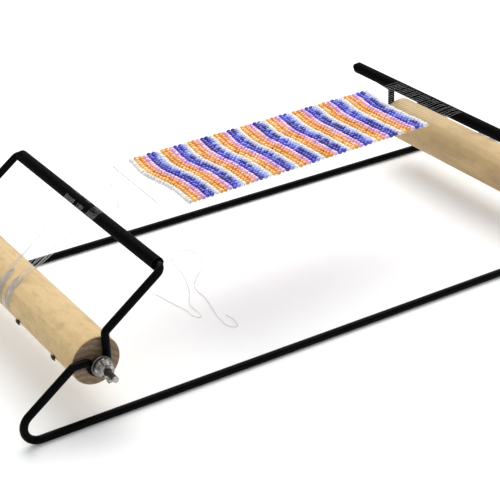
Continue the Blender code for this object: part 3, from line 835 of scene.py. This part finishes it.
def pivot_screw(side_name):
    low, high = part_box(side_name + "_pivot_screw")
    axis = SEAT[side_name]
    head = high.y - HEAD_T
    shape = Shape()
    profile = [(0.0, HEAD_T)]
    profile += [(HEAD_R * math.cos(math.radians(a)), HEAD_T * math.sin(math.radians(a)))
                for a in (80, 70, 60, 50, 40, 30, 20, 10, 3)]
    profile += [(HEAD_R * 0.985, 0.0), (STUD_R, 0.0), (STUD_R, low.y - head + 0.0015), (0.0, low.y - head)]
    shape.add(*lathe(profile, 56))
    screw = outward(shape.make(side_name + "_screw", STEEL, sharp=40))
    cut = bpy.data.meshes.new("slot")
    work = bmesh.new()
    bmesh.ops.create_cube(work, size=1.0, matrix=Matrix.Translation((0.0, HEAD_T, 0.0))
                          @ Matrix.Diagonal((3 * HEAD_R, SLOT_DEPTH * 2, SLOT_WIDTH, 1.0)))
    work.to_mesh(cut)
    work.free()
    cutter = bpy.data.objects.new("slot", cut)
    bpy.context.scene.collection.objects.link(cutter)
    carve = screw.modifiers.new("Slot", "BOOLEAN")
    carve.operation = "DIFFERENCE"
    carve.object = cutter
    mesh = apply_modifiers(screw)
    bpy.data.objects.remove(cutter, do_unlink=True)
    mesh.shade_smooth()
    mesh.set_sharp_from_angle(angle=math.radians(35))
    screw.location = (axis.x, head, axis.z)
    keep(screw, side_name + "_roller", "steel", side_name + "_pivot_screw")


def tie_pins(side_name):
    axis = SEAT[side_name]
    for number in range(1, PINS + 1):
        node = f"{side_name}_tie_pin_{number}"
        centre = middle_of(node)
        out = Vector((centre.x - axis.x, 0.0, centre.z - axis.z)).normalized()
        under = ROLLER_R + PIN_CLEAR
        profile = [(0.0, under + 0.0008), (0.00055, under + 0.00074), (0.0011, under + 0.00052),
                   (0.0014, under + 0.00026), (0.0015, under + 0.00008), (0.00146, under),
                   (0.0007, under - 0.00006), (0.0007, ROLLER_R - 0.0043), (0.0, ROLLER_R - 0.0050)]
        verts, faces = lathe(profile, 28, axis="Z")
        turn = np.array(out.to_track_quat("Z", "Y").to_matrix())
        verts = verts @ turn.T + np.array((axis.x, centre.y, axis.z))
        shape = Shape()
        shape.add(verts, faces)
        keep(outward(shape.make(node + "_nail", DARK_STEEL, sharp=40)),
             side_name + "_roller", "pin", node)


for side_name, side in SIDES:
    dowel(side_name)
    wing_stud(side_name)
    washer(side_name)
    wing_nut(side_name)
    pivot_screw(side_name)
    tie_pins(side_name)

# ---------------------------------------------------------------- warp threads and windings

chance = random.Random(7)
WARP_COUNT = BEADS_ACROSS + 1
WINDING = {name: [middle_of(f"{name}_thread_winding_{n}").y for n in (1, 2)] for name, _ in SIDES}


def lane_y(x, lane):
    """Y of a lane across the strip at a place along it; the strip narrows slightly to the right."""
    along = (x - STRIP_LEFT) / (ROW_COUNT * ROW_PITCH)
    spread = BEAD_PITCH * (1.025 - 0.06 * along)
    return MIDDLE_Y + SKEW * x - 0.0008 * (1 - along) + (BEADS_ACROSS / 2 - lane) * spread


def guide_places(side):
    """Where each thread crosses a guide, from the far one to the near one."""
    if side > 0:
        places = [MIDDLE_Y + SKEW * BAR_X + 0.0015 + 0.0226 * (1 - 2 * n / (WARP_COUNT - 1))
                  + chance.uniform(-0.0002, 0.0002) for n in range(WARP_COUNT)]
    else:
        places = []
        for count, far, near in ((11, 0.0112, 0.0040), (6, 0.0004, -0.0038), (10, -0.0082, -0.0142)):
            places += [MIDDLE_Y + far + (near - far) * n / (count - 1) for n in range(count)]
    coil = GUIDE["left"].y
    return [coil + COIL_PITCH * round((y - coil) / COIL_PITCH) for y in places]


def warp_end(side, guide_y, wind_y):
    """Points of one thread from the roller's skin over the guide to its top."""
    seat = SEAT["right" if side > 0 else "left"]
    roller, guide = Vector((seat.x, seat.z)), Vector((side * BAR_X, BAR_Z))
    roller_r = ROLLER_R + 5 * THREAD_R
    between = guide - roller
    lean = math.acos((roller_r - GROOVE_R) / between.length)
    normal = math.atan2(between.y, between.x) - side * lean
    points = []
    for number in range(5):
        a = normal - side * 0.10 * (4 - number)
        points.append((roller.x + roller_r * math.cos(a), wind_y, roller.y + roller_r * math.sin(a)))
    for number in range(9):
        a = normal + (math.pi / 2 - normal) * number / 8
        points.append((guide.x + GROOVE_R * math.cos(a), guide_y, guide.y + GROOVE_R * math.sin(a)))
    # eases out of the groove towards the strip
    points.append((guide.x - side * 0.0032, guide_y, WARP_Z - 0.00004))
    return points


def warp_threads():
    """The warp in three runs: the one through the beads moves with them, the outer two stay where they are
    made.
    """
    runs = {"left": Shape(), "work": Shape(), "right": Shape()}
    left_y, right_y = guide_places(-1), guide_places(1)
    left_x = STRIP_LEFT - STRIP_CLEAR
    right_x = STRIP_LEFT + ROW_COUNT * ROW_PITCH + STRIP_CLEAR
    for n in range(WARP_COUNT):
        left_wind = WINDING["left"][1 if n < FAR_THREADS["left"] else 0] + chance.uniform(-0.0020, 0.0020)
        right_wind = sorted(WINDING["right"])[1 if n < FAR_THREADS["right"] else 0]
        right_wind += chance.uniform(-0.0020, 0.0020)
        lane = [(x, lane_y(x, n), WARP_Z) for x in (left_x, 0.0, right_x)]
        routes = {
            "left": warp_end(-1, left_y[n], left_wind) + lane[:1],
            "work": lane,
            "right": lane[-1:] + list(reversed(warp_end(1, right_y[n], right_wind))),
        }
        for run, route in routes.items():
            runs[run].add(*sweep(route, THREAD_R, 6), tone=chance.random())
    guide_x = BAR_X - GUIDE_CLEAR
    keep(runs["work"].make("warp_strands_in_beads", THREAD), "work", "thread", "warp_threads")
    for run, bodies, start_x, end_x in (("left", ("frame", "work"), -guide_x, left_x),
                                        ("right", ("work", "frame"), right_x, guide_x)):
        strands = runs[run].make(f"warp_strands_{run}", THREAD)
        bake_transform(strands)
        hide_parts("warp_threads")


def winding(side_name, side, number):
    """Warp ends laid down the roller's outer side, crossing and knotting towards the tie pins."""
    node = f"{side_name}_thread_winding_{number}"
    low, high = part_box(node)
    seat = SEAT[side_name]
    centre_y = (low.y + high.y) / 2
    shape = Shape()
    for _ in range(WOUND_STRANDS):
        start_y = centre_y + chance.uniform(-0.0023, 0.0023)
        end_y = centre_y + chance.uniform(-0.0023, 0.0023)
        bow = chance.uniform(-0.0016, 0.0016)
        stray = chance.uniform(-0.0006, 0.0006)
        lift = THREAD_R * (1 + 6 * chance.random())
        begin = math.radians(chance.uniform(100, 118))
        finish = math.radians(chance.uniform(182, 203))
        points = []
        for step in range(25):
            t = step / 24
            a = begin + (finish - begin) * t
            if side > 0:
                a = math.pi - a
            r = ROLLER_R + lift + 0.00012 * math.sin(math.pi * t)
            y = start_y + (end_y - start_y) * t + bow * math.sin(math.pi * t)
            y += stray * math.sin(9 * t)
            y = min(high.y - 0.0001, max(low.y + 0.0001, y))
            points.append((seat.x + r * math.cos(a), y, seat.z + r * math.sin(a)))
        shape.add(*sweep(points, WOUND_R, 6), tone=chance.random())
    keep(shape.make(f"{side_name}_wound_thread_{number}", WOUND, seat),
         side_name + "_roller", "thread", node)


warp_threads()
for side_name, side in SIDES:
    for number in (1, 2):
        winding(side_name, side, number)

# ---------------------------------------------------------------- beads, weft and needle

pick = random.Random(23)
MILLIMETRES = 1000.0


def wave(row, across):
    """How far a row strays along X at a place across it, 0 far to 1 near."""
    along = row / ROW_COUNT
    turn = 2 * math.pi * across
    strip = -0.9 + 1.8 * along - 8.6 * along * (1 - along)
    slow = (0.3 + 0.6 * along) * math.cos(turn) + (-1.2 + 1.3 * along) * math.sin(turn)
    quick = 0.1 * math.cos(2 * turn) + 0.2 * math.sin(2 * turn)
    lean = -2.0 * along * across
    return (strip + slow + quick + lean) / MILLIMETRES


def bead_mesh():
    """One bead about Y: round outside, straight hole."""
    profile = []
    for a in (-90, -60, -28, 0, 28, 60, 90):
        turn = math.radians(a)
        bulge = BEAD_HOLE_R + (BEAD_R - BEAD_HOLE_R) * math.cos(turn) ** 0.7
        profile.append((bulge if abs(a) < 90 else BEAD_HOLE_R, BEAD_HALF * math.sin(turn)))
    return lathe(profile, 12)


def bead_place(row, number):
    across = (number + 0.5) / BEADS_ACROSS
    x = STRIP_LEFT + (row + 0.5) * ROW_PITCH
    return Vector((x + wave(row, across), lane_y(x, number + 0.5), STRIP_Z))


ROW_KIND = ("clear", "amber", "orange", "lilac", "blue", "deep")
BEAD_STOPS = {
    "clear": ((0.0, (0.99, 0.99, 0.99)), (0.7, (0.98, 0.98, 0.97)), (1.0, (0.92, 0.93, 0.93))),
    "amber": ((0.0, (0.76, 0.36, 0.03)), (0.45, (0.89, 0.47, 0.07)), (1.0, (0.96, 0.66, 0.26))),
    "orange": ((0.0, (0.74, 0.31, 0.035)), (0.55, (0.88, 0.42, 0.10)), (1.0, (0.94, 0.52, 0.34))),
    "lilac": ((0.0, (0.68, 0.38, 0.76)), (0.5, (0.85, 0.58, 0.86)), (1.0, (0.93, 0.64, 0.70))),
    "blue": ((0.0, (0.014, 0.012, 0.32)), (0.35, (0.034, 0.036, 0.48)), (0.7, (0.085, 0.100, 0.69)),
             (1.0, (0.36, 0.42, 0.88))),
}


def beads():
    verts, faces = bead_mesh()
    shapes = {kind: Shape() for kind in BEAD_STOPS}
    run_tone = 0.5
    for row in range(ROW_COUNT):
        kind = ROW_KIND[row % 6]
        for number in range(BEADS_ACROSS):
            if pick.random() < 0.4:
                run_tone = pick.random()
            tone = min(1.0, max(0.0, run_tone + pick.uniform(-0.3, 0.3)))
            if kind == "blue":
                tone *= 0.8
            if kind == "deep" and pick.random() < 0.2:
                tone = 1.0
            lean = Matrix.Rotation(pick.uniform(-0.22, 0.22), 3, "Z") @ Matrix.Rotation(
                pick.uniform(-0.18, 0.18), 3, "X") @ Matrix.Rotation(pick.uniform(0, 6.28), 3, "Y")
            size = np.array((1.0, pick.uniform(0.88, 1.08), 1.0)) * pick.uniform(0.90, 1.03)
            place = bead_place(row, number) + Vector((pick.uniform(-1, 1) * 0.00012, 0.0,
                                                      pick.uniform(-1, 1) * 0.00014))
            shapes["blue" if kind == "deep" else kind].add(
                (verts * size) @ np.array(lean).T + np.array(place), faces, tone)
    for kind, shape in shapes.items():
        clear = 0.25 if kind == "clear" else 0.0
        rough = 0.08 if kind == "clear" else 0.14
        look = bead_look(f"Glass bead {kind}", BEAD_STOPS[kind], clear, rough)
        keep(outward(shape.make(f"{kind}_beads", look)), "work", "beads", "bead_strip")


def weft():
    """The thread through every row, turning back round the outer warp thread at each edge."""
    points = []
    for row in range(ROW_COUNT):
        order = range(BEADS_ACROSS) if row % 2 == 0 else range(BEADS_ACROSS - 1, -1, -1)
        line = [bead_place(row, number) for number in order]
        out = (line[0] - line[1]).normalized()
        points.append(line[0] + out * BEAD_PITCH * WEFT_TURN)
        points += line
        points.append(line[-1] - out * BEAD_PITCH * WEFT_TURN)
    shape = Shape()
    shape.add(*sweep(points, THREAD_R, 6))
    keep(shape.make("weft_thread", THREAD), "work", "thread")


def needle():
    """Fine needle: long point, straight shank, and a slim eye at the far end."""
    near = Vector((NEEDLE_LOW.x + NEEDLE_R, NEEDLE_LOW.y, NEEDLE_Z))
    far = Vector((EYE_X, NEEDLE_HIGH.y, NEEDLE_Z))
    along = (far - near).normalized()
    across = Vector((along.y, -along.x, 0.0))
    eye = 0.0022
    root = far - along * eye
    shape = Shape()
    stations = (0.0, 0.02, 0.06, 0.12, 0.3, 0.6, 0.9, 0.97, 1.0)
    widths = [0.00003, 0.00010, 0.00017, 0.00021, 0.00022, 0.00022, 0.00022, 0.00021, 0.00017]
    shape.add(*sweep([near.lerp(root, t) for t in stations], widths, 14))
    centre = far - along * (eye / 2 + 0.0001)
    ring = []
    for number in range(28):
        a = 2 * math.pi * number / 28
        ring.append(centre + across * 0.00019 * math.sin(a) + along * (eye / 2 - 0.0001) * math.cos(a))
    shape.add(*sweep(ring, 0.00010, 8, closed=True))
    keep(outward(shape.make("bead_needle", NEEDLE_STEEL)), "work", "needle", "beading_needle")


beads()
weft()
needle()
